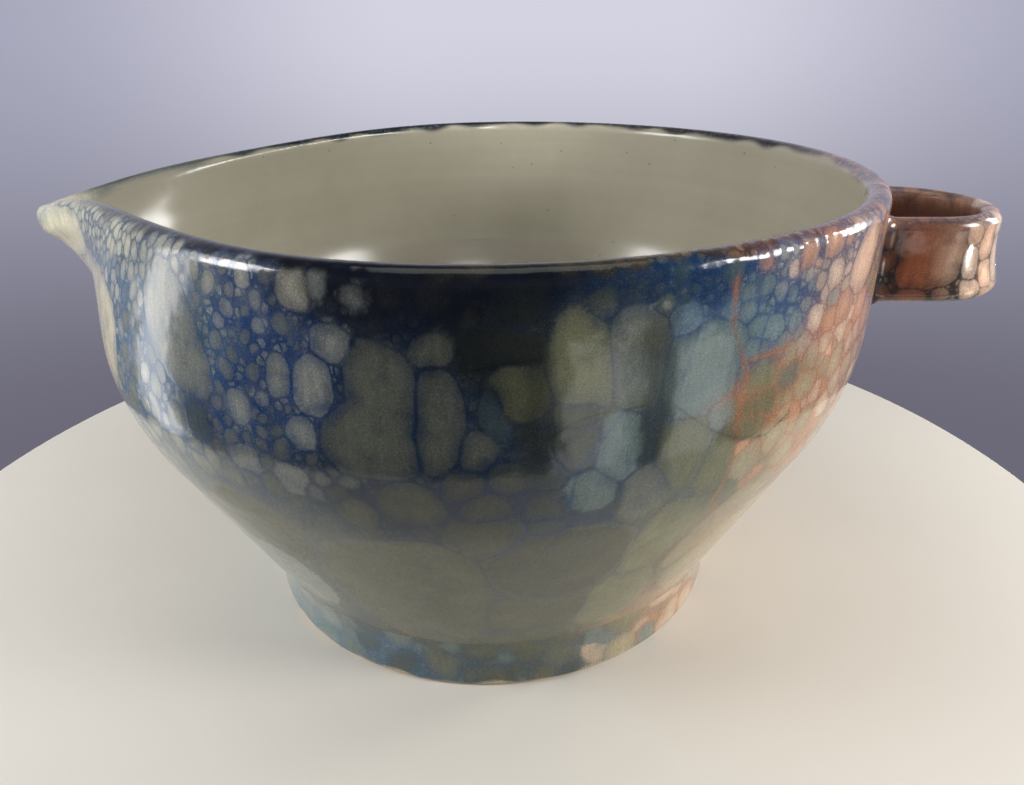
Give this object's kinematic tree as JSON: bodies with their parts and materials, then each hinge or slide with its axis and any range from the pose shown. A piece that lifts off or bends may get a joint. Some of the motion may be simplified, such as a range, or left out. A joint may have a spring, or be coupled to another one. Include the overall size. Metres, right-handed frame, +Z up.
{
  "type": "pouring bowl",
  "caption": "Round stoneware bowl on a foot ring, with a spout pulled from the rim, a strap loop handle opposite it and glossy bubble glaze.",
  "frame": {"origin": "middle of the outline's box, on the surface that the foot ring stands on", "axes": "+X from the spout to the handle, +Z up out of the bowl"},
  "size_m": [0.2711, 0.2036, 0.122],
  "materials": {
    "stoneware": "bare fired clay",
    "liner_glaze": "glossy plain glaze",
    "bubble_glaze": "glossy bubble glaze in blue, cream and terracotta",
    "foot_glaze": "glossy bubble glaze, wiped off the resting face",
    "handle_glaze": "glossy bubble glaze in terracotta"
  },
  "bodies": {
    "root": {"bowl_body": "stoneware", "liner_glaze": "liner_glaze", "bubble_glaze": "bubble_glaze", "foot_ring": "foot_glaze", "strap_handle": "handle_glaze", "front_handle_lute": "handle_glaze", "back_handle_lute": "handle_glaze"}
  },
  "joints": []
}
